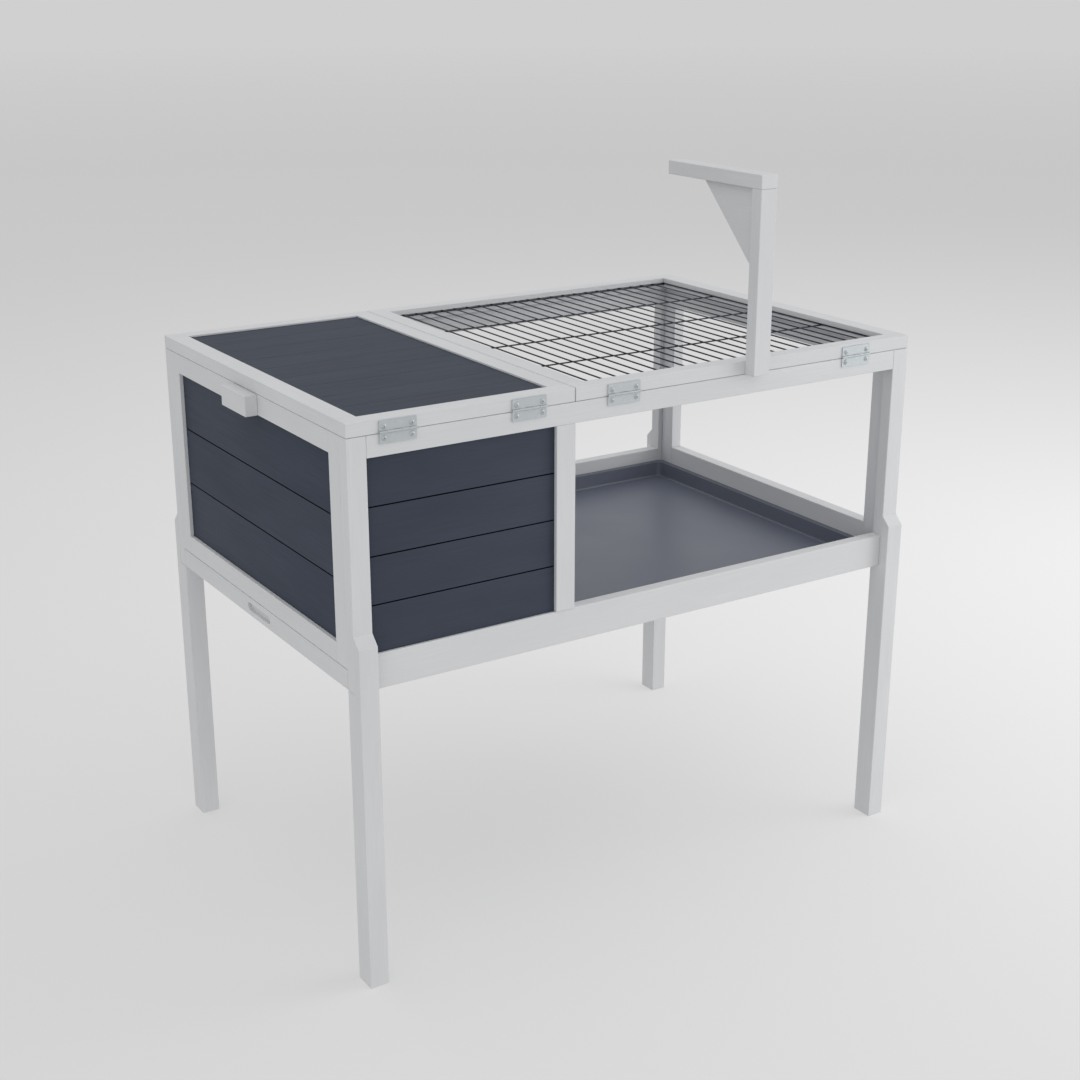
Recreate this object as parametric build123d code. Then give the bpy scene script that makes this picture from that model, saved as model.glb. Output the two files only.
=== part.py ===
from build123d import *
import os

os.makedirs("parts", exist_ok=True)

# Tortoise house on legs. Millimetres, Z up.
# While it is drawn, x runs from the left end, y from the hinge side and z from the floor.
# Each piece is then moved so that the origin is on the floor, under the middle of the overall box.

# Body
body_length = 935.0
body_depth = 600.0
body_bottom = 430.0
body_top = 770.5
frame_thickness = 20.0
post_width = 28.0
mid_post_width = 30.0
mid_post_start = 308.0
stile_width = 30.0
top_rail_height = 29.0
long_rail_height = 49.0
long_rail_setback = 2.0
end_rail_height = 28.2
edge_ease = 1.0
slip_gap = 0.3
touching = 0.01

# Legs
leg_lap = 14.0
leg_lap_height = 80.5

# Boards and the grooves that hold them
board_thickness = 8.0
board_recess = 6.0
housing_depth = 6.0
board_ease = 0.8
groove_gap = 0.2
front_boards = 4
end_boards = 3
roof_boards = 9

# Wall between the sleeping room and the run
partition_housing = 5.0
partition_clearance = 2.0
partition_boards = 4
doorway_width = 200.0
doorway_boards = 2
jamb_width = 22.0
jamb_thickness = 10.0

# Lids
lid_gap = 0.5
lid_thickness = 19.0
lid_long_rail = 24.5
lid_end_rail = 28.0
lid_seam = 1.2
seam_from_mid_post = 1.4
roof_recess = 3.0

# Wire mesh
wire_diameter = 2.5
long_wires = 24
cross_wires_between = 3
wire_edge_gap = 0.2
wire_housing = 5.0

# Lamp stand
mast_width = 28.0
mast_depth = 20.0
mast_height = 257.5
arm_length = 209.0
arm_height = 19.5
gusset_leg = 114.0
gusset_thickness = 12.0

# Drawer with its tray
drawer_front_height = 28.0
drawer_gap = 0.8
drawer_side_gap = 0.6
finger_length = 76.0
finger_height = 12.0
finger_depth = 5.0
tray_wall = 2.0
tray_flange_width = 9.0
tray_flange_thickness = 1.6
tray_flange_corner = 8.0
tray_rim_drop = 0.5
tray_floor_lift = 1.4
tray_side_gap = 0.8
tray_end_gap = 1.0
tray_corner = 12.0
tray_foot = 7.0
runner_height = 18.0
runner_gap = 0.4
runner_screws_each = 4
runner_screw_inset = 72.0
drawer_screw_inset = 70.0

# Handle block on the left end
handle_length = 80.0
handle_height = 29.0
handle_depth = 18.5
handle_offset = 3.5
handle_screw_inset = 20.0

# Hinges
hinge_length = 52.5
hinge_leaf_width = 14.8
hinge_leaf_thickness = 1.5
knuckle_radius = 1.7
knuckle_gap = 0.3
knuckle_count = 5
pin_radius = 0.9
pin_clearance = 0.06
pin_end = 1.2
pin_height_over_seam = 1.8
hinge_screw_inset = 6.6
left_lid_hinge_inset = 72.0
mesh_lid_hinge_inset_left = 77.0
mesh_lid_hinge_inset_right = 105.5

# Screws and dowels
screw_shank = 1.5
screw_head = 2.8
screw_head_height = 1.4
screw_head_dome = 1.2
hinge_screw_length = 12.0
joint_screw_length = 30.0
runner_screw_length = 20.0
drawer_screw_length = 14.0
screw_clearance = 0.15
head_recess_gap = 0.3
frame_dowel_radius = 4.0
lid_dowel_radius = 3.0
dowel_length = 20.0
dowel_clearance = 0.1
dowel_end_gap = 0.5
long_rail_dowel_inset = 12.0
lap_dowel_inset = 22.0
lap_dowel_from_end = 10.0
stile_dowel_from_top = 75.0
stile_dowel_from_bottom = 102.0
lid_dowel_inset = 10.5
lamp_dowel_offset = 7.5
gusset_dowel_from_corner = 48.0

# Places worked out from the sizes above
lid_bottom = body_top + lid_gap
lid_top = lid_bottom + lid_thickness
top_rail_bottom = body_top - top_rail_height
long_rail_top = body_bottom + long_rail_height
drawer_top = body_bottom + drawer_front_height
end_rail_bottom = drawer_top + drawer_gap
end_rail_top = end_rail_bottom + end_rail_height
inner_front = frame_thickness
inner_back = body_depth - frame_thickness
stile_front = inner_front + stile_width
stile_back = inner_back - stile_width
mid_post_end = mid_post_start + mid_post_width
left_lid_length = mid_post_end - seam_from_mid_post
mesh_lid_start = left_lid_length + lid_seam
handle_middle = body_depth / 2 + handle_offset
mast_top = lid_bottom + mast_height
pin_y = -(knuckle_radius + knuckle_gap)
pin_z = body_top + pin_height_over_seam
middle_x = (body_length - handle_depth) / 2
middle_y = (body_depth + leg_lap - max(mast_depth, leg_lap)) / 2

timbers = {}
dowels = {"frame": [], "left_lid": [], "mesh_lid": []}


def save(name, solids):
    """Writes one node, moved to the part's own frame."""
    group = Compound(children=list(solids)) if len(solids) > 1 else solids[0]
    export_step(Pos(-middle_x, -middle_y, 0) * group, f"parts/{name}.step")


def bar(x, y, z, ease=0.0):
    """A board between three pairs of limits, with its arrises eased."""
    spans = [sorted(pair) for pair in (x, y, z)]
    centre = [(low + high) / 2 for low, high in spans]
    block = Pos(*centre) * Box(*[high - low for low, high in spans])
    return fillet(block.edges(), ease) if ease else block


def rod(start, direction, radius, length):
    """A round rod from a start point along a direction."""
    plane = Plane(origin=start, z_dir=direction)
    return plane * Cylinder(radius, length, align=(Align.CENTER, Align.CENTER, Align.MIN))


def one(shape):
    """The only solid of a shape."""
    return shape.solids()[0]


def from_end(end, distance):
    """The x at a distance in from the left or the right end of the body."""
    return distance if end == "left" else body_length - distance


def from_side(side, distance):
    """The y at a distance in from the hinge side, front, or from the back."""
    return distance if side == "front" else body_depth - distance


def dowel(group, first, second, joint, direction, radius):
    """A dowel across the face where two timbers meet, with its hole in both."""
    axis = Vector(*direction)
    start = Vector(*joint) - axis * (dowel_length / 2)
    dowels[group].append(rod(start, axis, radius, dowel_length))
    bore_start = start - axis * dowel_end_gap
    bore = rod(bore_start, axis, radius + dowel_clearance, dowel_length + 2 * dowel_end_gap)
    for name in (first, second):
        timbers[name] -= bore


def screw(seat, direction, length):
    """A domed screw whose head stands on the seat and whose shank runs along the direction."""
    axis = Vector(*direction)
    head = rod(seat, axis * -1, screw_head, screw_head_height)
    rim = head.edges().sort_by(lambda edge: (edge.center() - Vector(*seat)).dot(axis))[0]
    head = fillet(rim, screw_head_dome)
    return head + rod(seat, axis, screw_shank, length)


def screw_bore(seat, direction, length):
    """The hole that a screw's shank needs."""
    return rod(seat, direction, screw_shank + screw_clearance, length + head_recess_gap)


# Legs: a thick lower part, a shoulder under the post and a bevelled lap up the post's outer face
def leg(end, side):
    outline = [
        (-leg_lap, 0),
        (frame_thickness, 0),
        (frame_thickness, body_bottom),
        (0, body_bottom),
        (0, body_bottom + leg_lap_height),
        (-leg_lap, body_bottom + leg_lap_height - leg_lap),
    ]
    points = [(from_side(side, y), z) for y, z in outline]
    blank = extrude(Plane.YZ * make_face(Polyline(*points, close=True)), amount=post_width)

    def against_post(edge):
        middle = edge.center()
        on_shoulder = abs(middle.Z - body_bottom) < touching
        on_lap = abs(middle.Y - from_side(side, 0)) < touching and middle.Z > body_bottom
        return on_shoulder or on_lap

    blank = fillet([edge for edge in blank.edges() if not against_post(edge)], edge_ease)
    return Pos(0 if end == "left" else body_length - post_width, 0, 0) * blank


for side in ("front", "back"):
    for end in ("left", "right"):
        timbers[f"leg_{side}_{end}"] = leg(end, side)
        timbers[f"post_{side}_{end}"] = bar(
            (from_end(end, 0), from_end(end, post_width)),
            (from_side(side, 0), from_side(side, frame_thickness)),
            (body_bottom, body_top),
            edge_ease,
        )

# Front and back frames
for side in ("front", "back"):
    across = (from_side(side, 0), from_side(side, frame_thickness))
    set_back = (from_side(side, long_rail_setback), from_side(side, frame_thickness))
    between_posts = (post_width, body_length - post_width)
    timbers[f"{side}_top_rail"] = bar(between_posts, across, (top_rail_bottom, body_top), edge_ease)
    timbers[f"{side}_bottom_rail"] = bar(between_posts, set_back, (body_bottom, long_rail_top), edge_ease)
    timbers[f"{side}_mid_post"] = bar(
        (mid_post_start, mid_post_end), across, (long_rail_top, top_rail_bottom), edge_ease
    )

# End frames, between the front and back frames
for end in ("left", "right"):
    thick = (from_end(end, 0), from_end(end, frame_thickness))
    foot = end_rail_bottom if end == "left" else body_bottom
    for side in ("front", "back"):
        timbers[f"{end}_end_{side}_stile"] = bar(
            thick,
            (from_side(side, inner_front), from_side(side, stile_front)),
            (foot, body_top),
            edge_ease,
        )
    timbers[f"{end}_end_top_rail"] = bar(
        thick, (stile_front, stile_back), (top_rail_bottom, body_top), edge_ease
    )
    timbers[f"{end}_end_bottom_rail"] = bar(
        thick, (stile_front, stile_back), (foot, end_rail_top), edge_ease
    )

# Rail over the wall between the two rooms
timbers["partition_top_rail"] = bar(
    (mid_post_start, mid_post_end), (inner_front, inner_back), (top_rail_bottom, body_top), edge_ease
)


def housed(names, x, y, z):
    """Cuts the groove that holds a panel out of the timbers round it."""
    spans = [(min(pair) - groove_gap, max(pair) + groove_gap) for pair in (x, y, z)]
    groove = bar(*spans)
    for name in names:
        timbers[name] -= groove


def stacked(low, high, count, housing_low, housing_high):
    """The limits of equal boards that fill an opening, the outer ones reaching into their grooves."""
    pitch = (high - low) / count
    limits = [low + pitch * index for index in range(count + 1)]
    limits[0] -= housing_low
    limits[-1] += housing_high
    return list(zip(limits[:-1], limits[1:]))


# Boarded walls of the sleeping room
panels = {}
board_inner = board_recess + board_thickness
for side in ("front", "back"):
    across = (from_side(side, board_recess), from_side(side, board_inner))
    along = (post_width - housing_depth, mid_post_start + housing_depth)
    rows = stacked(long_rail_top, top_rail_bottom, front_boards, housing_depth, housing_depth)
    panels[f"{side}_panel_boards"] = [bar(along, across, row, board_ease) for row in rows]
    housed(
        (f"post_{side}_left", f"{side}_mid_post", f"{side}_top_rail", f"{side}_bottom_rail"),
        along,
        across,
        (rows[0][0], rows[-1][1]),
    )

across = (stile_front - housing_depth, stile_back + housing_depth)
rows = stacked(end_rail_top, top_rail_bottom, end_boards, housing_depth, housing_depth)
panels["left_end_panel_boards"] = [
    bar((board_recess, board_inner), across, row, board_ease) for row in rows
]
housed(
    ("left_end_front_stile", "left_end_back_stile", "left_end_top_rail", "left_end_bottom_rail"),
    (board_recess, board_inner),
    across,
    (rows[0][0], rows[-1][1]),
)

# Wall between the rooms: boards with a doorway, its sides stiffened by jambs
partition_middle = (mid_post_start + mid_post_end) / 2
partition_x = (partition_middle - board_thickness / 2, partition_middle + board_thickness / 2)
partition_y = (inner_front - partition_housing, inner_back + partition_housing)
partition_bottom = drawer_top + partition_clearance
doorway_y = ((body_depth - doorway_width) / 2, (body_depth + doorway_width) / 2)
rows = stacked(partition_bottom, top_rail_bottom, partition_boards, 0, partition_housing)
panels["partition_boards"] = []
for index, row in enumerate(rows):
    if index < doorway_boards:
        pieces = [(partition_y[0], doorway_y[0]), (doorway_y[1], partition_y[1])]
    else:
        pieces = [partition_y]
    panels["partition_boards"] += [bar(partition_x, piece, row, board_ease) for piece in pieces]
for side in ("front", "back"):
    deep = (from_side(side, inner_front - partition_housing), from_side(side, inner_front))
    housed((f"{side}_mid_post", f"{side}_top_rail", f"{side}_bottom_rail"), partition_x, deep,
           (partition_bottom, rows[-1][1]))
housed(("partition_top_rail",), partition_x, (inner_front, inner_back),
       (top_rail_bottom, rows[-1][1]))
panels["partition_jambs"] = [
    bar(
        (partition_x[1], partition_x[1] + jamb_thickness),
        (edge, edge + outward * jamb_width),
        (partition_bottom, top_rail_bottom),
        edge_ease,
    )
    for edge, outward in ((doorway_y[0], -1), (doorway_y[1], 1))
]

# Lid frames: the long rails run through and the end rails butt between them
lid_limits = {"left_lid": (0, left_lid_length), "mesh_lid": (mesh_lid_start, body_length)}
lid_inner_y = (lid_long_rail, body_depth - lid_long_rail)
lid_z = (lid_bottom, lid_top)
for lid, (start, finish) in lid_limits.items():
    timbers[f"{lid}_front_rail"] = bar((start, finish), (0, lid_long_rail), lid_z, edge_ease)
    timbers[f"{lid}_back_rail"] = bar((start, finish), (lid_inner_y[1], body_depth), lid_z, edge_ease)
    timbers[f"{lid}_left_rail"] = bar((start, start + lid_end_rail), lid_inner_y, lid_z, edge_ease)
    timbers[f"{lid}_right_rail"] = bar((finish - lid_end_rail, finish), lid_inner_y, lid_z, edge_ease)

lid_rails = ("front_rail", "back_rail", "left_rail", "right_rail")
roof_x = (lid_end_rail - housing_depth, left_lid_length - lid_end_rail + housing_depth)
roof_z = (lid_top - roof_recess - board_thickness, lid_top - roof_recess)
rows = stacked(lid_inner_y[0], lid_inner_y[1], roof_boards, housing_depth, housing_depth)
panels["roof_boards"] = [bar(roof_x, row, roof_z, board_ease) for row in rows]
housed([f"left_lid_{rail}" for rail in lid_rails], roof_x, (rows[0][0], rows[-1][1]), roof_z)

# Wire mesh, held in a groove half way up the mesh lid's rails
mesh_x = (mesh_lid_start + lid_end_rail, body_length - lid_end_rail)
wire_inset = wire_edge_gap + wire_diameter / 2
mesh_z = ((lid_z[0] + lid_z[1] - wire_diameter) / 2, (lid_z[0] + lid_z[1] + wire_diameter) / 2)
wire_x = [
    mesh_x[0] + wire_inset + index * (mesh_x[1] - mesh_x[0] - 2 * wire_inset) / (long_wires - 1)
    for index in range(long_wires)
]
wire_y = [
    lid_inner_y[0] + wire_inset
    + index * (lid_inner_y[1] - lid_inner_y[0] - 2 * wire_inset) / (cross_wires_between + 1)
    for index in range(cross_wires_between + 2)
]
mesh_reach_x = (mesh_x[0] - wire_housing, mesh_x[1] + wire_housing)
mesh_reach_y = (lid_inner_y[0] - wire_housing, lid_inner_y[1] + wire_housing)


def mesh_net():
    """The welded mesh as one flat net: its wires with the gaps between them left open."""
    centre_y = sum(mesh_reach_y) / 2
    centre_x = sum(mesh_reach_x) / 2
    strips = [Pos(x, centre_y) * Rectangle(wire_diameter, mesh_reach_y[1] - mesh_reach_y[0]) for x in wire_x]
    strips += [Pos(centre_x, y) * Rectangle(mesh_reach_x[1] - mesh_reach_x[0], wire_diameter) for y in wire_y]
    net = Sketch() + strips
    return extrude(Pos(0, 0, mesh_z[0]) * net, amount=wire_diameter)


housed([f"mesh_lid_{rail}" for rail in lid_rails], mesh_reach_x, mesh_reach_y, mesh_z)

# Lamp stand on the mesh lid's front rail
mast_middle = (mesh_lid_start + body_length) / 2
mast_x = (mast_middle - mast_width / 2, mast_middle + mast_width / 2)
timbers["lamp_mast"] = bar(mast_x, (-mast_depth, 0), (lid_bottom, mast_top), edge_ease)
timbers["lamp_arm"] = bar(
    mast_x, (-mast_depth, arm_length - mast_depth), (mast_top, mast_top + arm_height), edge_ease
)
gusset_outline = Polyline((0, mast_top), (gusset_leg, mast_top), (0, mast_top - gusset_leg), close=True)
timbers["lamp_gusset"] = extrude(
    Plane.YZ.offset(mast_middle - gusset_thickness / 2) * make_face(gusset_outline),
    amount=gusset_thickness,
)

# Handle block and its screws from inside the end rail
rail_middle_z = (top_rail_bottom + body_top) / 2
timbers["handle_block"] = bar(
    (-handle_depth, 0),
    (handle_middle - handle_length / 2, handle_middle + handle_length / 2),
    (body_top - handle_height, body_top),
    edge_ease,
)
handle_screws = []
handle_screw_offset = handle_length / 2 - handle_screw_inset
for offset in (-handle_screw_offset, handle_screw_offset):
    seat = (frame_thickness, handle_middle + offset, rail_middle_z)
    handle_screws.append(screw(seat, (-1, 0, 0), joint_screw_length))
    for name in ("handle_block", "left_end_top_rail"):
        timbers[name] -= screw_bore(seat, (-1, 0, 0), joint_screw_length)

# Dowels of the frame, clear of the panel grooves
groove_top = top_rail_bottom + housing_depth + groove_gap
rail_dowel_z = (groove_top + body_top) / 2
end_dowel_z = (end_rail_bottom + end_rail_top - housing_depth - groove_gap) / 2
long_dowels_z = (
    body_bottom + long_rail_dowel_inset,
    long_rail_top - housing_depth - long_rail_dowel_inset,
)
lap_dowels_z = (body_bottom + lap_dowel_inset, body_bottom + leg_lap_height - lap_dowel_inset)
stile_dowels_z = (body_bottom + stile_dowel_from_bottom, body_top - stile_dowel_from_top)
for side in ("front", "back"):
    face = from_side(side, 0)
    inner_face = from_side(side, inner_front)
    thick_middle = from_side(side, frame_thickness / 2)
    set_back_middle = from_side(side, (long_rail_setback + frame_thickness) / 2)
    for end in ("left", "right"):
        post = f"post_{side}_{end}"
        stile = f"{end}_end_{side}_stile"
        joint_x = from_end(end, post_width)
        top_joint = (joint_x, thick_middle, rail_dowel_z)
        dowel("frame", post, f"{side}_top_rail", top_joint, (1, 0, 0), frame_dowel_radius)
        for z in long_dowels_z:
            joint = (joint_x, set_back_middle, z)
            dowel("frame", post, f"{side}_bottom_rail", joint, (1, 0, 0), frame_dowel_radius)
        for z in lap_dowels_z:
            joint = (from_end(end, lap_dowel_from_end), face, z)
            dowel("frame", post, f"leg_{side}_{end}", joint, (0, 1, 0), frame_dowel_radius)
        stile_x = from_end(end, frame_thickness / 2)
        for z in stile_dowels_z:
            dowel("frame", post, stile, (stile_x, inner_face, z), (0, 1, 0), frame_dowel_radius)
        for rail, z in (("top_rail", rail_dowel_z), ("bottom_rail", end_dowel_z)):
            joint = (stile_x, from_side(side, stile_front), z)
            dowel("frame", stile, f"{end}_end_{rail}", joint, (0, 1, 0), frame_dowel_radius)
    post_dowel_x = (mid_post_start + housing_depth + mid_post_end) / 2
    post_dowel_y = from_side(side, (long_rail_setback + inner_front - partition_housing) / 2)
    for rail, z in (("top_rail", top_rail_bottom), ("bottom_rail", long_rail_top)):
        joint = (post_dowel_x, post_dowel_y, z)
        dowel("frame", f"{side}_mid_post", f"{side}_{rail}", joint, (0, 0, 1), lid_dowel_radius)
    joint = (partition_middle, inner_face, rail_dowel_z)
    dowel("frame", "partition_top_rail", f"{side}_top_rail", joint, (0, 1, 0), frame_dowel_radius)

# Dowels of the lids and of the lamp stand
lid_middle_z = (lid_bottom + lid_top) / 2
for lid, (start, finish) in lid_limits.items():
    for joint_x, rail in ((start + lid_dowel_inset, "left"), (finish - lid_dowel_inset, "right")):
        for joint_y, long_rail in ((lid_inner_y[0], "front"), (lid_inner_y[1], "back")):
            rails = (f"{lid}_{long_rail}_rail", f"{lid}_{rail}_rail")
            dowel(lid, *rails, (joint_x, joint_y, lid_middle_z), (0, 1, 0), lid_dowel_radius)
for offset in (-lamp_dowel_offset, lamp_dowel_offset):
    foot_joint = (mast_middle + offset, 0, lid_middle_z)
    head_joint = (mast_middle + offset, -mast_depth / 2, mast_top)
    dowel("mesh_lid", "mesh_lid_front_rail", "lamp_mast", foot_joint, (0, 1, 0), lid_dowel_radius)
    dowel("mesh_lid", "lamp_mast", "lamp_arm", head_joint, (0, 0, 1), lid_dowel_radius)
mast_joint = (mast_middle, 0, mast_top - gusset_dowel_from_corner)
arm_joint = (mast_middle, gusset_dowel_from_corner, mast_top)
dowel("mesh_lid", "lamp_mast", "lamp_gusset", mast_joint, (0, 1, 0), lid_dowel_radius)
dowel("mesh_lid", "lamp_arm", "lamp_gusset", arm_joint, (0, 0, 1), lid_dowel_radius)

# Runners that carry the tray by its flange, screwed to the long bottom rails
rim_top = drawer_top - tray_rim_drop
flange_bottom = rim_top - tray_flange_thickness
runner_depth = tray_flange_width + tray_side_gap - runner_gap
runner_x = (frame_thickness + drawer_gap, body_length - frame_thickness - slip_gap)
runners = []
runner_screws = []
for side in ("front", "back"):
    runner = bar(
        runner_x,
        (from_side(side, inner_front), from_side(side, inner_front + runner_depth)),
        (flange_bottom - slip_gap - runner_height, flange_bottom - slip_gap),
        board_ease,
    )
    inward = (0, -1, 0) if side == "front" else (0, 1, 0)
    screw_pitch = (runner_x[1] - runner_x[0] - 2 * runner_screw_inset) / (runner_screws_each - 1)
    for index in range(runner_screws_each):
        seat = (
            runner_x[0] + runner_screw_inset + index * screw_pitch,
            from_side(side, inner_front + runner_depth - screw_head_height - head_recess_gap),
            flange_bottom - slip_gap - runner_height / 2,
        )
        runner_screws.append(screw(seat, inward, runner_screw_length))
        shank_bore = screw_bore(seat, inward, runner_screw_length)
        outward = [-value for value in inward]
        head_bore = rod(seat, outward, screw_head + head_recess_gap, runner_depth)
        runner -= shank_bore + head_bore
        timbers[f"{side}_bottom_rail"] -= shank_bore
    runners.append(runner)


# Tray: a shallow pan with rounded corners and a flange round its rim
def pan(x, y, z, corner, foot):
    """A block with rounded upright corners and a rounded foot."""
    blank = bar(x, y, z)
    blank = fillet(blank.edges().filter_by(Axis.Z), corner)
    return fillet(blank.faces().sort_by(Axis.Z)[0].edges(), foot)


tray_x = (frame_thickness, body_length - frame_thickness - tray_end_gap)
tray_y = (inner_front + tray_side_gap, inner_back - tray_side_gap)
tray_bottom = body_bottom + tray_floor_lift
pan_x = (tray_x[0], tray_x[1] - tray_flange_width)
pan_y = (tray_y[0] + tray_flange_width, tray_y[1] - tray_flange_width)
outer_pan = pan(pan_x, pan_y, (tray_bottom, rim_top), tray_corner, tray_foot)
flange = bar(tray_x, tray_y, (flange_bottom, rim_top))
flange = fillet(flange.edges().filter_by(Axis.Z), tray_flange_corner)
inner_pan = pan(
    (pan_x[0] + tray_wall, pan_x[1] - tray_wall),
    (pan_y[0] + tray_wall, pan_y[1] - tray_wall),
    (tray_bottom + tray_wall, rim_top + tray_wall),
    tray_corner - tray_wall,
    tray_foot - tray_wall,
)
tray = outer_pan + flange - inner_pan

# Drawer front with its finger recess, screwed to the tray from inside
timbers["drawer_front"] = bar(
    (0, frame_thickness),
    (inner_front + drawer_side_gap, inner_back - drawer_side_gap),
    (body_bottom, drawer_top),
    edge_ease,
)
finger_middle_z = (body_bottom + drawer_top) / 2
finger_slot = Plane(origin=(0, body_depth / 2, finger_middle_z), x_dir=(0, 1, 0), z_dir=(1, 0, 0))
timbers["drawer_front"] -= extrude(
    finger_slot * SlotOverall(finger_length, finger_height), amount=finger_depth
)
drawer_screws = []
drawer_screw_y = (
    inner_front + drawer_side_gap + drawer_screw_inset,
    body_depth / 2,
    inner_back - drawer_side_gap - drawer_screw_inset,
)
for y in drawer_screw_y:
    seat = (frame_thickness + tray_wall, y, finger_middle_z)
    drawer_screws.append(screw(seat, (-1, 0, 0), drawer_screw_length))
    shank_bore = screw_bore(seat, (-1, 0, 0), drawer_screw_length)
    timbers["drawer_front"] -= shank_bore
    tray -= shank_bore

# Hinges: a leaf below and a leaf above the seam, with interlocking knuckles on one pin
hinge_middles = {
    "left_lid": (left_lid_hinge_inset, left_lid_length - left_lid_hinge_inset),
    "mesh_lid": (mesh_lid_start + mesh_lid_hinge_inset_left, body_length - mesh_lid_hinge_inset_right),
}


def hinge_leaf(middle, upward, knuckles):
    """One leaf, its knuckles rolled round the pin and cut away for the other leaf's knuckles."""
    start = middle - hinge_length / 2
    pitch = hinge_length / knuckle_count
    reach = pin_z + upward * hinge_leaf_width
    leaf = bar((start, start + hinge_length), (-hinge_leaf_thickness, 0), (pin_z, reach))
    corners = [e for e in leaf.edges().filter_by(Axis.Y) if abs(e.center().Z - reach) < edge_ease]
    leaf = fillet(corners, edge_ease)
    relief = knuckle_radius + knuckle_gap
    for index in range(knuckle_count):
        low = start + index * pitch
        if index in knuckles:
            side_gap_low = knuckle_gap / 2 if index > 0 else 0
            side_gap_high = knuckle_gap / 2 if index < knuckle_count - 1 else 0
            width = pitch - side_gap_low - side_gap_high
            leaf += rod((low + side_gap_low, pin_y, pin_z), (1, 0, 0), knuckle_radius, width)
        else:
            low_edge = low - knuckle_gap / 2 if index > 0 else low
            high_edge = low + pitch + (knuckle_gap / 2 if index < knuckle_count - 1 else 0)
            leaf -= bar((low_edge, high_edge), (pin_y, relief), (pin_z - relief, pin_z + relief))
    pin_hole = rod((start - pin_end, pin_y, pin_z), (1, 0, 0), pin_radius + pin_clearance,
                   hinge_length + 2 * pin_end)
    return leaf - pin_hole


lid_knuckles = [index for index in range(knuckle_count) if index % 2]
frame_knuckles = [index for index in range(knuckle_count) if not index % 2]
screw_rise = hinge_leaf_width / 2
hinge_pins = []
hinge_frame_leaves = []
hinge_frame_screws = []
lid_leaves = {"left_lid": [], "mesh_lid": []}
lid_hinge_screws = {"left_lid": [], "mesh_lid": []}
for lid, middles in hinge_middles.items():
    for middle in middles:
        pin_start = middle - hinge_length / 2 - pin_end
        hinge_pins.append(rod((pin_start, pin_y, pin_z), (1, 0, 0), pin_radius, hinge_length + 2 * pin_end))
        lower_leaf = hinge_leaf(middle, -1, frame_knuckles)
        upper_leaf = hinge_leaf(middle, 1, lid_knuckles)
        for offset in (hinge_screw_inset - hinge_length / 2, hinge_length / 2 - hinge_screw_inset):
            lower_seat = (middle + offset, -hinge_leaf_thickness, pin_z - screw_rise)
            upper_seat = (middle + offset, -hinge_leaf_thickness, pin_z + screw_rise)
            hinge_frame_screws.append(screw(lower_seat, (0, 1, 0), hinge_screw_length))
            lid_hinge_screws[lid].append(screw(upper_seat, (0, 1, 0), hinge_screw_length))
            lower_bore = screw_bore(lower_seat, (0, 1, 0), hinge_screw_length)
            upper_bore = screw_bore(upper_seat, (0, 1, 0), hinge_screw_length)
            lower_leaf -= lower_bore
            upper_leaf -= upper_bore
            timbers["front_top_rail"] -= lower_bore
            timbers[f"{lid}_front_rail"] -= upper_bore
        hinge_frame_leaves.append(lower_leaf)
        lid_leaves[lid].append(upper_leaf)

# One file for each node
for name, timber in timbers.items():
    save(name, [one(timber)])
for name, boards in panels.items():
    save(name, boards)
save("wire_mesh", [one(mesh_net())])
save("frame_dowels", dowels["frame"])
save("tray_runners", [one(runner) for runner in runners])
save("runner_screws", runner_screws)
save("handle_screws", handle_screws)
save("tray", [one(tray)])
save("drawer_screws", drawer_screws)
save("hinge_pins", hinge_pins)
save("hinge_frame_leaves", [one(leaf) for leaf in hinge_frame_leaves])
save("hinge_frame_screws", hinge_frame_screws)
for lid in ("left_lid", "mesh_lid"):
    save(f"{lid}_dowels", dowels[lid])
    save(f"{lid}_hinge_leaves", [one(leaf) for leaf in lid_leaves[lid]])
    save(f"{lid}_hinge_screws", lid_hinge_screws[lid])
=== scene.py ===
import math

import bmesh
import bpy
from mathutils import Euler, Matrix, Vector


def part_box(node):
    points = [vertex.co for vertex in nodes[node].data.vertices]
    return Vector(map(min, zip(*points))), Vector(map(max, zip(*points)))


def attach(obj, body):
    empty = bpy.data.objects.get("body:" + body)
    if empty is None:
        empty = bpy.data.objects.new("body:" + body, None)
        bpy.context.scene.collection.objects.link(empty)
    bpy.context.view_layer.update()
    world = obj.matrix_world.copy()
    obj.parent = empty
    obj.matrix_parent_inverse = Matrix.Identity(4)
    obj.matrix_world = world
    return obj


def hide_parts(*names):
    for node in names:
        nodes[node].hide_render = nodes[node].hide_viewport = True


# Tortoise house on legs: painted pine, slate-painted boards, a welded wire lid and a formed tray.
# Metres, Z up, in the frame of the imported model. A size times MM is written in millimetres.

MM = 0.001
X, Y, Z = 0, 1, 2
TOUCHING = 0.01 * MM
FACES_THAT_WAY = 0.9
WHITE = (1.0, 1.0, 1.0, 1.0)

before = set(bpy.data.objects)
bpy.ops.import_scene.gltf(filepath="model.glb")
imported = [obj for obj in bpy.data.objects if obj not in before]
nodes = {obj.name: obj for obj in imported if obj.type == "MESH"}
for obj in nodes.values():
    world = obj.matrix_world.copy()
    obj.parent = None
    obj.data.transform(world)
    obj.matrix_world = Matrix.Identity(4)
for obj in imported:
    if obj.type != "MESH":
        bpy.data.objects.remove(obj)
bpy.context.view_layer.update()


# Camera, solved from the edges of the timbers: it looks down at the hinge side and the left end
CAMERA_FOCAL = 57.05
CAMERA_SENSOR = 36.0
CAMERA_PLACE = (-1342.25, -2116.0, 1335.0)
CAMERA_HEADING = 32.653
CAMERA_TILT = 19.062
CAMERA_ROLL = 0.012
CAMERA_REACH = 100.0


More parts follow.
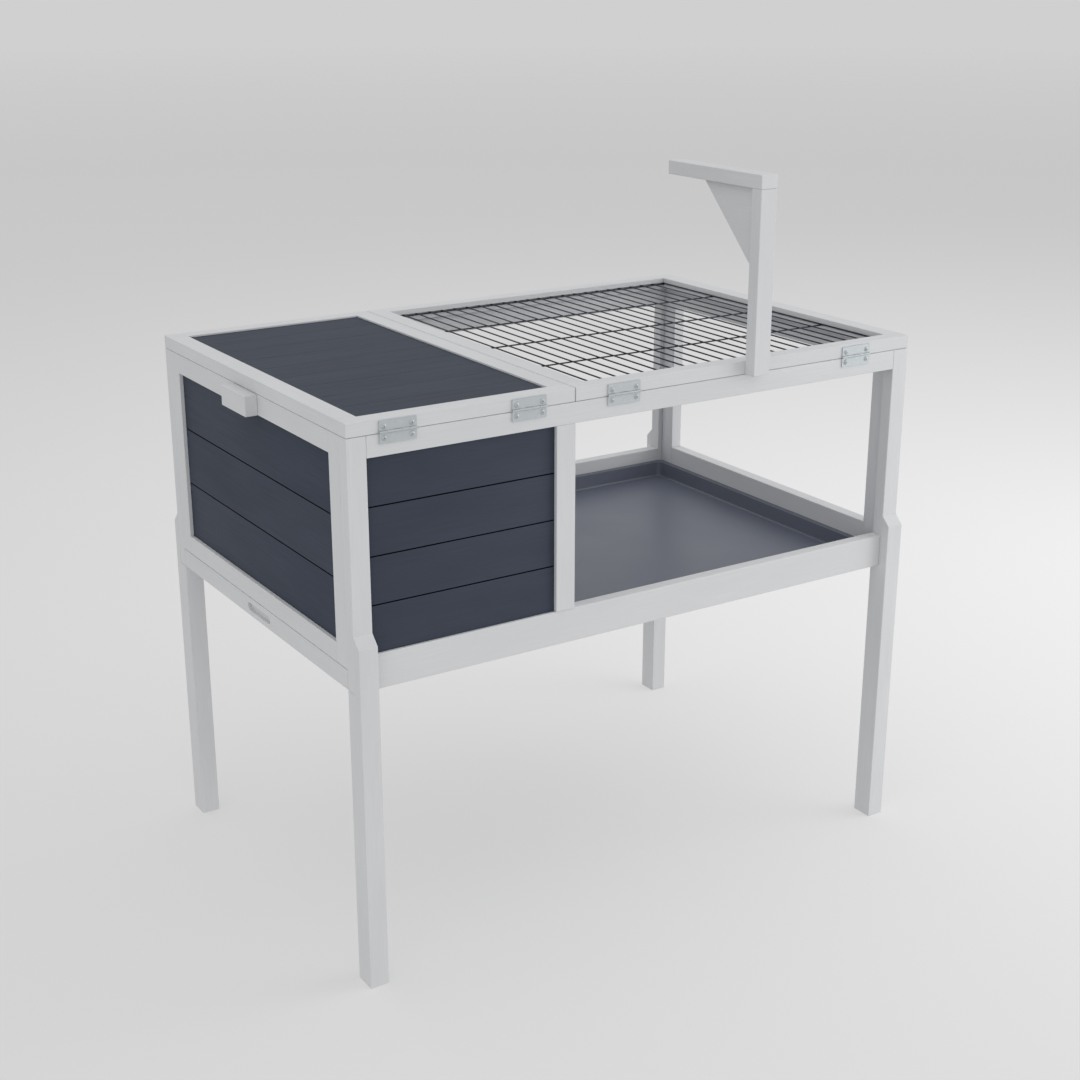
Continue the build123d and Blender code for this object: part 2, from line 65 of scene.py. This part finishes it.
def place_camera():
    data = bpy.data.cameras.new("camera")
    data.lens = CAMERA_FOCAL
    data.sensor_width = CAMERA_SENSOR
    data.sensor_fit = "HORIZONTAL"
    data.clip_end = CAMERA_REACH
    camera = bpy.data.objects.new("camera", data)
    camera.location = Vector(CAMERA_PLACE) * MM
    angles = (90 - CAMERA_TILT, CAMERA_ROLL, -CAMERA_HEADING)
    camera.rotation_euler = Euler([math.radians(angle) for angle in angles])
    bpy.context.scene.collection.objects.link(camera)
    bpy.context.scene.camera = camera


# Materials. A pattern's size is in millimetres, as across and along the grain where it has one

def from_hex(code):
    """An sRGB hex colour as a linear one."""
    channels = [int(code[i:i + 2], 16) / 255 for i in (1, 3, 5)]
    linear = [c / 12.92 if c <= 0.04045 else ((c + 0.055) / 1.055) ** 2.4 for c in channels]
    return (*linear, 1.0)


def add(tree, kind, inputs=(), **settings):
    """Adds a node with its settings, and its inputs in order or by name: a value, an output or a node."""
    node = tree.nodes.new(kind)
    for name, value in settings.items():
        setattr(node, name, value)
    pairs = inputs.items() if isinstance(inputs, dict) else enumerate(inputs)
    for socket, value in pairs:
        if isinstance(value, bpy.types.Node):
            value = [output for output in value.outputs if output.enabled][0]
        if isinstance(value, bpy.types.NodeSocket):
            tree.links.new(value, node.inputs[socket])
        else:
            node.inputs[socket].default_value = value
    return node


def new_material(name):
    material = bpy.data.materials.new(name)
    material.use_nodes = True
    material.node_tree.nodes.clear()
    return material, material.node_tree


def shade(tree, values):
    """The shader and the output; a number that is the same all over is set on the shader itself."""
    shader = add(tree, "ShaderNodeBsdfPrincipled", values)
    add(tree, "ShaderNodeOutputMaterial", {"Surface": shader})


# Each timber is cut from another plank, so its grain starts elsewhere, by up to this many grains
PLANK_SHIFT = 90.0


def grain_place(tree, along, size_mm):
    """Object coordinates in grains: a grain is long one way and narrow the other two."""
    place = add(tree, "ShaderNodeTexCoord").outputs["Object"]
    scale = [1 / (size_mm[1 if axis == along else 0] * MM) for axis in "xyz"]
    plank = add(tree, "ShaderNodeObjectInfo").outputs["Random"]
    shift = add(tree, "ShaderNodeMath", [plank, PLANK_SHIFT], operation="MULTIPLY")
    offset = add(tree, "ShaderNodeCombineXYZ", [shift, shift, shift])
    return add(tree, "ShaderNodeMapping", {"Vector": place, "Location": offset, "Scale": scale})


# Most of a noise lies between these two, so they stand for its darkest and its lightest place
NOISE_SPAN = (0.3, 0.7)

RIDGE_SIZE = (1.6, 70)
# A bristle leaves a mark of about 0.2 mm, which is too fine to show, so it is drawn wider
STROKE_SIZE = (0.7, 140)
BLOTCH_SIZE = (45, 160)
PAINT_TONE_SPAN = (0.1, 0.45)
PAINT_SHEEN_CHANGE = 0.07
PAINT_STROKE_SHARE = 0.35
PAINT_RELIEF = 0.12


def painted_wood(name, along, colour, dark_colour, roughness, specular, relief):
    """Brushed-on paint over planed softwood: the grain shows only as faint ridges along the timber."""
    material, tree = new_material(name)
    ridges, strokes, blotches = (
        add(tree, "ShaderNodeTexNoise",
            {"Vector": grain_place(tree, along, size), "Scale": 1.0, "Detail": detail})
        for size, detail in ((RIDGE_SIZE, 3.0), (STROKE_SIZE, 1.0), (BLOTCH_SIZE, 2.0))
    )
    tone = add(tree, "ShaderNodeMath", [ridges, blotches], operation="MULTIPLY")
    share = add(tree, "ShaderNodeMapRange", [tone, *PAINT_TONE_SPAN, 0.0, 1.0])
    height = add(tree, "ShaderNodeMath", [strokes, PAINT_STROKE_SHARE, ridges], operation="MULTIPLY_ADD")
    sheen = (roughness - PAINT_SHEEN_CHANGE, roughness + PAINT_SHEEN_CHANGE)
    shade(tree, {
        "Base Color": add(tree, "ShaderNodeMix", {0: share, 6: from_hex(dark_colour), 7: from_hex(colour)},
                          data_type="RGBA"),
        "Roughness": add(tree, "ShaderNodeMapRange", [strokes, *NOISE_SPAN, *sheen]),
        "Specular IOR Level": specular,
        "Normal": add(tree, "ShaderNodeBump",
                      {"Height": height, "Strength": relief, "Distance": PAINT_RELIEF * MM}),
    })
    return material


FLECK_SIZE = (0.6, 4)
FLECK_SPAN = (0.4, 0.7)
BEECH_SHEEN = (0.54, 0.68)
BEECH_RELIEF = 0.05


def bare_beech():
    """Turned beech dowel rod, sanded and left bare: short dark flecks along a pink-brown ground."""
    material, tree = new_material("bare_beech")
    flecks = add(tree, "ShaderNodeTexNoise",
                 {"Vector": grain_place(tree, "x", FLECK_SIZE), "Scale": 1.0, "Detail": 2.0})
    share = add(tree, "ShaderNodeMapRange", [flecks, *FLECK_SPAN, 0.0, 1.0])
    shade(tree, {
        "Base Color": add(tree, "ShaderNodeMix", {0: share, 6: from_hex("#c9a274"), 7: from_hex("#a97f55")},
                          data_type="RGBA"),
        "Roughness": add(tree, "ShaderNodeMapRange", [flecks, *NOISE_SPAN, *BEECH_SHEEN]),
        "Specular IOR Level": 0.3,
        "Normal": add(tree, "ShaderNodeBump",
                      {"Height": flecks, "Strength": 0.3, "Distance": BEECH_RELIEF * MM}),
    })
    return material


# The ripples of baked powder are about half as wide, and are drawn wider so that they show
POWDER_RIPPLE = 1.1
POWDER_WEAR = 30
POWDER_SHEEN = (0.33, 0.43)
POWDER_RELIEF = 0.05


def powder_coat():
    """Near-black powder coat on drawn steel wire: satin, with the faint orange peel of baked powder."""
    material, tree = new_material("navy_powder_coat")
    place = add(tree, "ShaderNodeTexCoord").outputs["Object"]
    ripples, wear = (
        add(tree, "ShaderNodeTexNoise", {"Vector": place, "Scale": 1 / (size * MM), "Detail": detail})
        for size, detail in ((POWDER_RIPPLE, 1.0), (POWDER_WEAR, 2.0))
    )
    shade(tree, {
        "Base Color": add(tree, "ShaderNodeMix", {0: ripples, 6: from_hex("#161a26"), 7: from_hex("#212635")},
                          data_type="RGBA"),
        "Roughness": add(tree, "ShaderNodeMapRange", [wear, *NOISE_SPAN, *POWDER_SHEEN]),
        "Specular IOR Level": 0.5,
        "Normal": add(tree, "ShaderNodeBump",
                      {"Height": ripples, "Strength": 0.4, "Distance": POWDER_RELIEF * MM}),
    })
    return material


# The mould's leather grain is finer than this, and is drawn coarser so that it shows
LEATHER_CELL = 1.6
WIPED_PATCH = 140
TRAY_SHEEN = (0.34, 0.44)
LEATHER_RELIEF = 0.06


def formed_plastic():
    """Vacuum-formed polystyrene: slate grey, a fine leather-like grain, glossier where it is wiped."""
    material, tree = new_material("formed_polystyrene")
    place = add(tree, "ShaderNodeTexCoord").outputs["Object"]
    cells = add(tree, "ShaderNodeTexVoronoi", {"Vector": place, "Scale": 1 / (LEATHER_CELL * MM)},
                feature="SMOOTH_F1").outputs["Distance"]
    wiped = add(tree, "ShaderNodeTexNoise",
                {"Vector": place, "Scale": 1 / (WIPED_PATCH * MM), "Detail": 3.0})
    shade(tree, {
        "Base Color": add(tree, "ShaderNodeMix", {0: wiped, 6: from_hex("#5a5f6c"), 7: from_hex("#626775")},
                          data_type="RGBA"),
        "Roughness": add(tree, "ShaderNodeMapRange", [wiped, *NOISE_SPAN, *TRAY_SHEEN]),
        "Specular IOR Level": 0.55,
        "Normal": add(tree, "ShaderNodeBump",
                      {"Height": cells, "Strength": 0.25, "Distance": LEATHER_RELIEF * MM}),
    })
    return material


# Lines from rolling are finer than these, and are drawn coarser so that they show
STRIP_LINES = (0.3, 12)
SCREW_LINES = (0.5, 12)
ZINC_CLOUD = 6
ZINC_SHEEN_CHANGE = (-0.06, 0.1)
ZINC_RELIEF = 0.02


def zinc_plate(name, colour, roughness, line_size):
    """Bright zinc on rolled steel: soft lines from rolling and a slightly clouded, cool shine."""
    material, tree = new_material(name)
    lines = add(tree, "ShaderNodeTexNoise",
                {"Vector": grain_place(tree, "x", line_size), "Scale": 1.0, "Detail": 2.0})
    place = add(tree, "ShaderNodeTexCoord").outputs["Object"]
    clouds = add(tree, "ShaderNodeTexNoise",
                 {"Vector": place, "Scale": 1 / (ZINC_CLOUD * MM), "Detail": 2.0})
    sheen = [roughness + change for change in ZINC_SHEEN_CHANGE]
    shade(tree, {
        "Base Color": add(tree, "ShaderNodeMix", {0: clouds, 6: from_hex(colour), 7: from_hex("#bcc2c4")},
                          data_type="RGBA"),
        # Zinc's dull bloom takes away most of a bare metal's mirror
        "Metallic": 0.4,
        "Roughness": add(tree, "ShaderNodeMapRange", [lines, 0.0, 1.0, *sheen]),
        "Normal": add(tree, "ShaderNodeBump",
                      {"Height": lines, "Strength": 0.2, "Distance": ZINC_RELIEF * MM}),
    })
    return material


timber_paint = {
    along: painted_wood(f"grey_painted_pine_along_{along}", along, colour="#d1d2d4", dark_colour="#cbccce",
                        roughness=0.55, specular=0.2, relief=0.2)
    for along in "xyz"
}
slate_paint = {
    along: painted_wood(f"slate_painted_pine_along_{along}", along, colour="#404653", dark_colour="#3b404c",
                        roughness=0.62, specular=0.1, relief=0.25)
    for along in "xy"
}
# Painted shade: a near-black finish for the tongues between boards, standing in for the shadow in the gaps
gap_painted_shade = painted_wood("painted_shade_in_board_gaps", "x", colour="#14171d", dark_colour="#0e1015",
                         roughness=0.8, specular=0.05, relief=0.3)
beech = bare_beech()
wire_coating = powder_coat()
tray_plastic = formed_plastic()
leaf_zinc = zinc_plate("zinc_plated_strip", "#b0b6b9", 0.5, STRIP_LINES)
screw_zinc = zinc_plate("zinc_plated_screw", "#a4abae", 0.36, SCREW_LINES)

# The way that the boards of each panel run
BOARDS = {
    "front_panel_boards": "x",
    "back_panel_boards": "x",
    "left_end_panel_boards": "y",
    "partition_boards": "y",
    "roof_boards": "x",
}


def longest_axis(node):
    low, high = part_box(node)
    spans = list(high - low)
    return "xyz"[spans.index(max(spans))]


def finish_of(node):
    """The finish of a CAD node, by what the real piece is made of."""
    if node in BOARDS:
        return slate_paint[BOARDS[node]]
    if node == "wire_mesh":
        return wire_coating
    if node == "tray":
        return tray_plastic
    if "leaves" in node:
        return leaf_zinc
    if "screws" in node or node == "hinge_pins":
        return screw_zinc
    if "dowels" in node:
        return beech
    if node == "partition_jambs":
        return timber_paint["z"]
    return timber_paint[longest_axis(node)]


def dress_nodes():
    for name, node in nodes.items():
        node.data.materials.clear()
        node.data.materials.append(finish_of(name))


# Tools for the new pieces

SMOOTH_ANGLE = 30
ROUND_SMOOTH_ANGLE = 40


def clear_selection():
    if bpy.context.object and bpy.context.object.mode != "OBJECT":
        bpy.ops.object.mode_set(mode="OBJECT")
    bpy.ops.object.select_all(action="DESELECT")


def only(piece):
    clear_selection()
    piece.select_set(True)
    bpy.context.view_layer.objects.active = piece


def settle(piece):
    """Puts a piece's place and turn into its mesh."""
    only(piece)
    bpy.ops.object.transform_apply(location=True, rotation=True, scale=True)
    return piece


def joined(name, pieces):
    clear_selection()
    for piece in pieces:
        piece.select_set(True)
    bpy.context.view_layer.objects.active = pieces[0]
    if len(pieces) > 1:
        bpy.ops.object.join()
    piece = bpy.context.object
    piece.name = name
    piece.data.name = name
    return settle(piece)


def copied(piece, place, turn):
    """A copy with its own mesh, turned and then moved to its place."""
    copy = piece.copy()
    copy.data = piece.data.copy()
    bpy.context.scene.collection.objects.link(copy)
    copy.data.transform(Matrix.Translation(place) @ turn)
    return copy


def apply_modifier(piece, kind, **settings):
    only(piece)
    modifier = piece.modifiers.new(kind.lower(), kind)
    for name, value in settings.items():
        setattr(modifier, name, value)
    bpy.ops.object.modifier_apply(modifier=modifier.name)


def finish_piece(piece, body, material, node, angle=SMOOTH_ANGLE):
    """Gives a new piece its finish and body, and hides the CAD node that it stands for."""
    piece.data.materials.clear()
    piece.data.materials.append(material)
    only(piece)
    bpy.ops.object.shade_smooth_by_angle(angle=math.radians(angle))
    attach(piece, body)
    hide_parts(node)


def select_faces(piece, wanted):
    shape = bmesh.from_edit_mesh(piece.data)
    bpy.ops.mesh.select_all(action="DESELECT")
    for face in shape.faces:
        if wanted(face):
            face.select_set(True)
    bmesh.update_edit_mesh(piece.data)


def select_edges(piece, wanted):
    shape = bmesh.from_edit_mesh(piece.data)
    bpy.ops.mesh.select_all(action="DESELECT")
    for edge in shape.edges:
        if wanted(edge):
            edge.select_set(True)
    bmesh.update_edit_mesh(piece.data)


def spread(low, high, count):
    return [low + (high - low) * index / (count - 1) for index in range(count)]


def block(low, high):
    clear_selection()
    bpy.ops.mesh.primitive_cube_add(size=1, location=(low + high) / 2)
    piece = bpy.context.object
    piece.scale = high - low
    return settle(piece)


# Boards: each with a tongue in its middle, so that a dark shadow gap shows between neighbours

HOUSING = 6.0 * MM
WALL_GAP = 2.5 * MM
ROOF_GAP = 1.1 * MM
GAP_DEPTH = 2.6 * MM
BOARD_EASE = 0.35 * MM
SHARP_EDGE = 0.5

# Node, new piece, body, number of boards, gap, the axis that they face and the axis that they stack on
PANELS = (
    ("front_panel_boards", "front_boarding", "frame", 4, WALL_GAP, Y, Z),
    ("back_panel_boards", "back_boarding", "frame", 4, WALL_GAP, Y, Z),
    ("left_end_panel_boards", "left_end_boarding", "frame", 3, WALL_GAP, X, Z),
    ("roof_boards", "roof_boarding", "left_lid", 9, ROOF_GAP, Z, Y),
)


def tongued_board(low, high, gap, face_axis, stack_axis):
    """One board: its side edges are cut back near both faces, which leaves a tongue between them."""
    board = block(low, high)
    bpy.ops.object.mode_set(mode="EDIT")
    normal = [0.0, 0.0, 0.0]
    normal[face_axis] = 1.0
    for level in (low[face_axis] + GAP_DEPTH, high[face_axis] - GAP_DEPTH):
        point = list(low)
        point[face_axis] = level
        bpy.ops.mesh.select_all(action="SELECT")
        bpy.ops.mesh.bisect(plane_co=point, plane_no=normal)
    middle = (low[face_axis] + high[face_axis]) / 2
    half = (high[face_axis] - low[face_axis]) / 2
    for outward in (-1, 1):
        def beside_face(face):
            depth = half - abs(face.calc_center_median()[face_axis] - middle)
            return depth < GAP_DEPTH and face.normal[stack_axis] * outward > FACES_THAT_WAY

        select_faces(board, beside_face)
        bpy.ops.mesh.extrude_region_move()
        shift = [0.0, 0.0, 0.0]
        shift[stack_axis] = -outward * gap / 2
        bpy.ops.transform.translate(value=shift)
    bpy.ops.mesh.select_all(action="SELECT")
    bpy.ops.mesh.remove_doubles(threshold=TOUCHING)
    bpy.ops.mesh.dissolve_degenerate()
    bpy.ops.mesh.normals_make_consistent(inside=False)

    def outer_edge(edge):
        depths = [half - abs(vertex.co[face_axis] - middle) for vertex in edge.verts]
        on_face = all(abs(depth) < TOUCHING for depth in depths)
        return on_face and len(edge.link_faces) == 2 and edge.calc_face_angle(0) > SHARP_EDGE

    select_edges(board, outer_edge)
    bpy.ops.mesh.bevel(offset=BOARD_EASE, segments=2)
    bpy.ops.object.mode_set(mode="OBJECT")
    return board


def boarding(node, name, body, count, gap, face_axis, stack_axis):
    """Equal boards fill an opening; the two outer ones also reach into the frame's grooves."""
    low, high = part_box(node)
    edges = spread(low[stack_axis] + HOUSING, high[stack_axis] - HOUSING, count + 1)
    edges[0], edges[-1] = low[stack_axis], high[stack_axis]
    boards = []
    for start, end in zip(edges, edges[1:]):
        corner_low, corner_high = low.copy(), high.copy()
        corner_low[stack_axis], corner_high[stack_axis] = start, end
        boards.append(tongued_board(corner_low, corner_high, gap, face_axis, stack_axis))
    piece = joined(name, boards)
    finish_piece(piece, body, slate_paint[BOARDS[node]], node)
    # Painted shade: all that lies behind the eased edges takes the near-black gap finish, which stands in for
    # the shadow between the boards
    piece.data.materials.append(gap_painted_shade)
    reach = BOARD_EASE * 1.5
    for polygon in piece.data.polygons:
        if low[face_axis] + reach < polygon.center[face_axis] < high[face_axis] - reach:
            polygon.material_index = 1


# Tray: formed from one sheet, with leaning walls, round corners, a small round foot and a flange

TRAY_SHEET = 1.8 * MM
TRAY_WALL = 2.0 * MM
TRAY_FLANGE = 9.0 * MM
TRAY_CORNER = 10.0 * MM
TRAY_CURVE = 3.0 * MM
TRAY_LEAN = 2.5 * MM


def formed_tray():
    low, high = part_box("tray")
    inner_low = low + Vector((TRAY_WALL, TRAY_FLANGE + TRAY_WALL, TRAY_SHEET))
    inner_high = high - Vector((TRAY_FLANGE + TRAY_WALL, TRAY_FLANGE + TRAY_WALL, 0))
    size = inner_high - inner_low
    tray = block(inner_low, inner_high)
    bpy.ops.object.mode_set(mode="EDIT")
    select_faces(tray, lambda face: face.normal.z > FACES_THAT_WAY)
    bpy.ops.mesh.delete(type="FACE")
    select_faces(tray, lambda face: face.normal.z < -FACES_THAT_WAY)
    bpy.ops.transform.resize(value=(1 - 2 * TRAY_LEAN / size.x, 1 - 2 * TRAY_LEAN / size.y, 1))
    # The upright corners come first, because the foot then follows them round
    select_edges(tray, lambda edge: abs(edge.verts[0].co.z - edge.verts[1].co.z) > TRAY_CORNER)
    bpy.ops.mesh.bevel(offset=TRAY_CORNER, segments=10)
    floor_z = inner_low.z + TOUCHING
    select_edges(tray, lambda edge: all(vertex.co.z < floor_z for vertex in edge.verts))
    bpy.ops.mesh.bevel(offset=TRAY_CURVE, segments=12)
    # The flange is the rim, drawn out onto the CAD tray's outline
    rim_z = inner_high.z - TOUCHING
    select_edges(tray, lambda edge: all(vertex.co.z > rim_z for vertex in edge.verts))
    bpy.ops.mesh.extrude_edges_move()
    wide = Vector(((high.x - low.x) / size.x, (high.y - low.y) / size.y, 1))
    still = [(inner_low[i] * wide[i] - low[i]) / (wide[i] - 1) for i in (X, Y)]
    bpy.ops.transform.resize(value=wide, center_override=(*still, inner_high.z))
    bpy.ops.mesh.select_all(action="SELECT")
    bpy.ops.mesh.normals_make_consistent(inside=True)
    bpy.ops.object.mode_set(mode="OBJECT")
    # The sheet grows away from the inside, whichever way the floor came to face
    floor_side = max(tray.data.polygons, key=lambda face: face.area).normal.z
    outward = 1 if floor_side < 0 else -1
    apply_modifier(tray, "SOLIDIFY", thickness=TRAY_SHEET, offset=outward, use_even_offset=True)
    tray = joined("formed_tray", [tray])
    finish_piece(tray, "drawer", tray_plastic, "tray", ROUND_SMOOTH_ANGLE)


# Welded wire mesh: long wires across the run, with a few cross wires welded under them

WIRE_RADIUS = 1.1 * MM
WIRE_SIDES = 16
WIRE_END_EASE = WIRE_RADIUS / 3
WELD_SINK = 0.35 * MM
LONG_WIRES = 24
CROSS_WIRES = 5
WIRE_EDGE = 6.45 * MM


def straight_wire(start, finish):
    """One drawn wire with softly cut ends."""
    length = (finish - start).length
    clear_selection()
    bpy.ops.mesh.primitive_cylinder_add(vertices=WIRE_SIDES, radius=WIRE_RADIUS, depth=length)
    wire = bpy.context.object
    bpy.ops.object.mode_set(mode="EDIT")
    near_end = length / 2 - WIRE_RADIUS / 10
    select_edges(wire, lambda edge: all(abs(vertex.co.z) > near_end for vertex in edge.verts))
    bpy.ops.mesh.bevel(offset=WIRE_END_EASE, segments=2)
    bpy.ops.object.mode_set(mode="OBJECT")
    turn = (finish - start).to_track_quat("Z", "Y").to_matrix().to_4x4()
    wire.data.transform(Matrix.Translation((start + finish) / 2) @ turn)
    return wire


def welded_mesh():
    low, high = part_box("wire_mesh")
    middle_z = (low.z + high.z) / 2
    lift = WIRE_RADIUS - WELD_SINK / 2
    upper, lower = middle_z + lift, middle_z - lift
    wires = [
        straight_wire(Vector((x, low.y, upper)), Vector((x, high.y, upper)))
        for x in spread(low.x + WIRE_EDGE, high.x - WIRE_EDGE, LONG_WIRES)
    ]
    wires += [
        straight_wire(Vector((low.x, y, lower)), Vector((high.x, y, lower)))
        for y in spread(low.y + WIRE_EDGE, high.y - WIRE_EDGE, CROSS_WIRES)
    ]
    mesh = joined("welded_wire_mesh", wires)
    finish_piece(mesh, "mesh_lid", wire_coating, "wire_mesh", ROUND_SMOOTH_ANGLE)


# Domed screws with a cross recess. A head is given as its radius and its height

HINGE_HEAD = (3.7 * MM, 1.9 * MM)
HIDDEN_HEAD = (2.8 * MM, 1.4 * MM)
CAD_HEAD_HEIGHT = 1.4 * MM
HEAD_SIDES = 32
RECESS_SPAN = 2.9 * MM
RECESS_WIDTH = 0.75 * MM
RECESS_DEPTH = 0.8 * MM
SHANK_RADIUS = 1.45 * MM
SHANK_SIDES = 20
TIP_INSET = SHANK_RADIUS * 0.7

# A screw is made with its head up, and this turns its head the way that it faces
FACINGS = {
    "-y": Matrix.Rotation(math.radians(90), 4, "X"),
    "+y": Matrix.Rotation(math.radians(-90), 4, "X"),
    "+x": Matrix.Rotation(math.radians(90), 4, "Y"),
}
TURN_STEP = 37

# Node, new piece, body, head, and the way that the head faces
SCREWS = (
    ("hinge_frame_screws", "frame_hinge_screws", "frame", HINGE_HEAD, "-y"),
    ("left_lid_hinge_screws", "left_lid_leaf_screws", "left_lid", HINGE_HEAD, "-y"),
    ("mesh_lid_hinge_screws", "mesh_lid_leaf_screws", "mesh_lid", HINGE_HEAD, "-y"),
    ("handle_screws", "handle_block_screws", "frame", HIDDEN_HEAD, "+x"),
    ("drawer_screws", "drawer_front_screws", "drawer", HIDDEN_HEAD, "+x"),
    ("runner_screws", "tray_runner_screws", "frame", HIDDEN_HEAD, "inward"),
)


def loose_parts(node):
    """The low and high corner of each separate solid of a CAD node, in order along X, then Z."""
    mesh = bmesh.new()
    mesh.from_mesh(nodes[node].data)
    bmesh.ops.remove_doubles(mesh, verts=mesh.verts, dist=TOUCHING / 10)
    left = set(mesh.verts)
    parts = []
    while left:
        reached = [left.pop()]
        for vertex in reached:
            near = {edge.other_vert(vertex) for edge in vertex.link_edges} & left
            left -= near
            reached.extend(near)
        low = Vector([min(vertex.co[i] for vertex in reached) for i in (X, Y, Z)])
        high = Vector([max(vertex.co[i] for vertex in reached) for i in (X, Y, Z)])
        parts.append((low, high))
    mesh.free()
    return sorted(parts, key=lambda part: (round(part[0].x, 4), round(part[0].z, 4)))


def screw_model(length, head_radius, head_height):
    """A screw that stands on the origin with its head up: a cap of a ball, cut by a cross."""
    ball = (head_radius ** 2 + head_height ** 2) / (2 * head_height)
    clear_selection()
    bpy.ops.mesh.primitive_uv_sphere_add(segments=HEAD_SIDES, ring_count=HEAD_SIDES, radius=ball,
                                         location=(0, 0, head_height - ball))
    head = settle(bpy.context.object)
    bpy.ops.object.mode_set(mode="EDIT")
    bpy.ops.mesh.select_all(action="SELECT")
    bpy.ops.mesh.bisect(plane_co=(0, 0, 0), plane_no=(0, 0, 1), clear_inner=True, use_fill=True)
    bpy.ops.object.mode_set(mode="OBJECT")
    for angle in (0, 90):
        clear_selection()
        bpy.ops.mesh.primitive_cube_add(size=1, location=(0, 0, head_height))
        cutter = bpy.context.object
        cutter.scale = (RECESS_SPAN, RECESS_WIDTH, RECESS_DEPTH * 2)
        cutter.rotation_euler.z = math.radians(angle)
        settle(cutter)
        apply_modifier(head, "BOOLEAN", operation="DIFFERENCE", solver="EXACT", object=cutter)
        bpy.data.objects.remove(cutter)
    clear_selection()
    bpy.ops.mesh.primitive_cylinder_add(vertices=SHANK_SIDES, radius=SHANK_RADIUS, depth=length,
                                        location=(0, 0, -length / 2))
    shank = bpy.context.object
    bpy.ops.object.mode_set(mode="EDIT")
    select_faces(shank, lambda face: face.normal.z < -FACES_THAT_WAY)
    bpy.ops.mesh.inset(thickness=TIP_INSET, depth=0)
    bpy.ops.transform.translate(value=(0, 0, -SHANK_RADIUS))
    bpy.ops.object.mode_set(mode="OBJECT")
    return joined("screw_model", [head, settle(shank)])


def screw_group(node, name, body, head, facing):
    """Copies one screw to each solid of a CAD screw node, each left at another turn by the driver."""
    parts = loose_parts(node)
    length = max(parts[0][1] - parts[0][0]) - CAD_HEAD_HEIGHT
    model = screw_model(length, *head)
    screws = []
    for index, (low, high) in enumerate(parts):
        side = facing
        if facing == "inward":
            side = "+y" if low.y + high.y < 0 else "-y"
        axis = "xyz".index(side[1])
        place = (low + high) / 2
        place[axis] = low[axis] + CAD_HEAD_HEIGHT if side[0] == "-" else high[axis] - CAD_HEAD_HEIGHT
        turn = FACINGS[side] @ Matrix.Rotation(math.radians(index * TURN_STEP), 4, "Z")
        screws.append(copied(model, place, turn))
    bpy.data.objects.remove(model)
    finish_piece(joined(name, screws), body, screw_zinc, node)


# Floor and light, in metres

FLOOR_COLOUR = "#989898"
FLOOR_RADIUS = 24.0
FLOOR_SIDES = 96
# The floor thins out into the studio's even light between these two, so that no horizon shows
FLOOR_FADE = (FLOOR_RADIUS * 0.4, FLOOR_RADIUS * 0.98)
# The floor glows, which keeps the shadows as faint as the photograph's
FLOOR_GLOW = 0.32
FAR_GLOW = FLOOR_GLOW * 0.92
GLOW_FALL = (2.0, 9.0)
# A painted pool of light: the floor glows brighter to the right of the house
LIGHT_POOL_GLOW = 0.26
POOL_REACH = 6.0
POOL_PLACE = (2.0, 0.2, 0.0)
SKY_LOW = 0.63
SKY_HIGH = 0.92
SKY_FULL_AT = 0.8
LAMP_SPREAD = 120
LAMP_AIM = (0.0, 0.0, 0.6)
# Name, place, width and power in watts
LAMPS = (
    ("front_right_softbox", (2.2, -1.5, 0.8), 1.6, 9.6),
    ("right_softbox", (3.4, -1.0, 2.8), 2.6, 9.0),
    ("front_left_softbox", (-2.3, -1.9, 0.7), 1.6, 3.5),
)


def lay_floor():
    clear_selection()
    bpy.ops.mesh.primitive_circle_add(vertices=FLOOR_SIDES, radius=FLOOR_RADIUS, fill_type="NGON")
    floor = bpy.context.object
    floor.name = "floor"
    material, tree = new_material("studio_floor")
    place = add(tree, "ShaderNodeTexCoord").outputs["Object"]
    to_pool = add(tree, "ShaderNodeVectorMath", [place, POOL_PLACE], operation="DISTANCE").outputs["Value"]
    distance = add(tree, "ShaderNodeVectorMath", [place], operation="LENGTH").outputs["Value"]
    # Painted light: the floor's glow rises towards the pool's place
    nearness = add(tree, "ShaderNodeMapRange", [to_pool, 0.0, POOL_REACH, 1.0, 0.0])
    pool = add(tree, "ShaderNodeMath", [nearness, 2.0], operation="POWER")
    even = add(tree, "ShaderNodeMapRange", [distance, *GLOW_FALL, FLOOR_GLOW, FAR_GLOW])
    shade(tree, {
        "Base Color": from_hex(FLOOR_COLOUR),
        "Roughness": 0.9,
        "Specular IOR Level": 0.05,
        "Alpha": add(tree, "ShaderNodeMapRange", [distance, *FLOOR_FADE, 1.0, 0.0]),
        "Emission Color": WHITE,
        "Emission Strength": add(tree, "ShaderNodeMath", [pool, LIGHT_POOL_GLOW, even], operation="MULTIPLY_ADD"),
    })
    floor.data.materials.append(material)


def light_studio():
    world = bpy.data.worlds.new("studio")
    bpy.context.scene.world = world
    world.use_nodes = True
    tree = world.node_tree
    direction = add(tree, "ShaderNodeTexCoord").outputs["Generated"]
    up = add(tree, "ShaderNodeSeparateXYZ", [direction]).outputs["Z"]
    strength = add(tree, "ShaderNodeMapRange", [up, 0.0, SKY_FULL_AT, SKY_LOW, SKY_HIGH])
    sky = tree.nodes["Background"]
    sky.inputs["Color"].default_value = WHITE
    tree.links.new(strength.outputs["Result"], sky.inputs["Strength"])
    for name, place, width, power in LAMPS:
        data = bpy.data.lights.new(name, "AREA")
        data.shape = "SQUARE"
        data.size = width
        data.energy = power
        data.spread = math.radians(LAMP_SPREAD)
        lamp = bpy.data.objects.new(name, data)
        lamp.location = place
        lamp.rotation_euler = (Vector(LAMP_AIM) - Vector(place)).to_track_quat("-Z", "Y").to_euler()
        lamp.visible_camera = False
        bpy.context.scene.collection.objects.link(lamp)
    bpy.context.scene.view_settings.view_transform = "Standard"


place_camera()
lay_floor()
light_studio()
dress_nodes()
for panel in PANELS:
    boarding(*panel)
formed_tray()
welded_mesh()
for screws in SCREWS:
    screw_group(*screws)
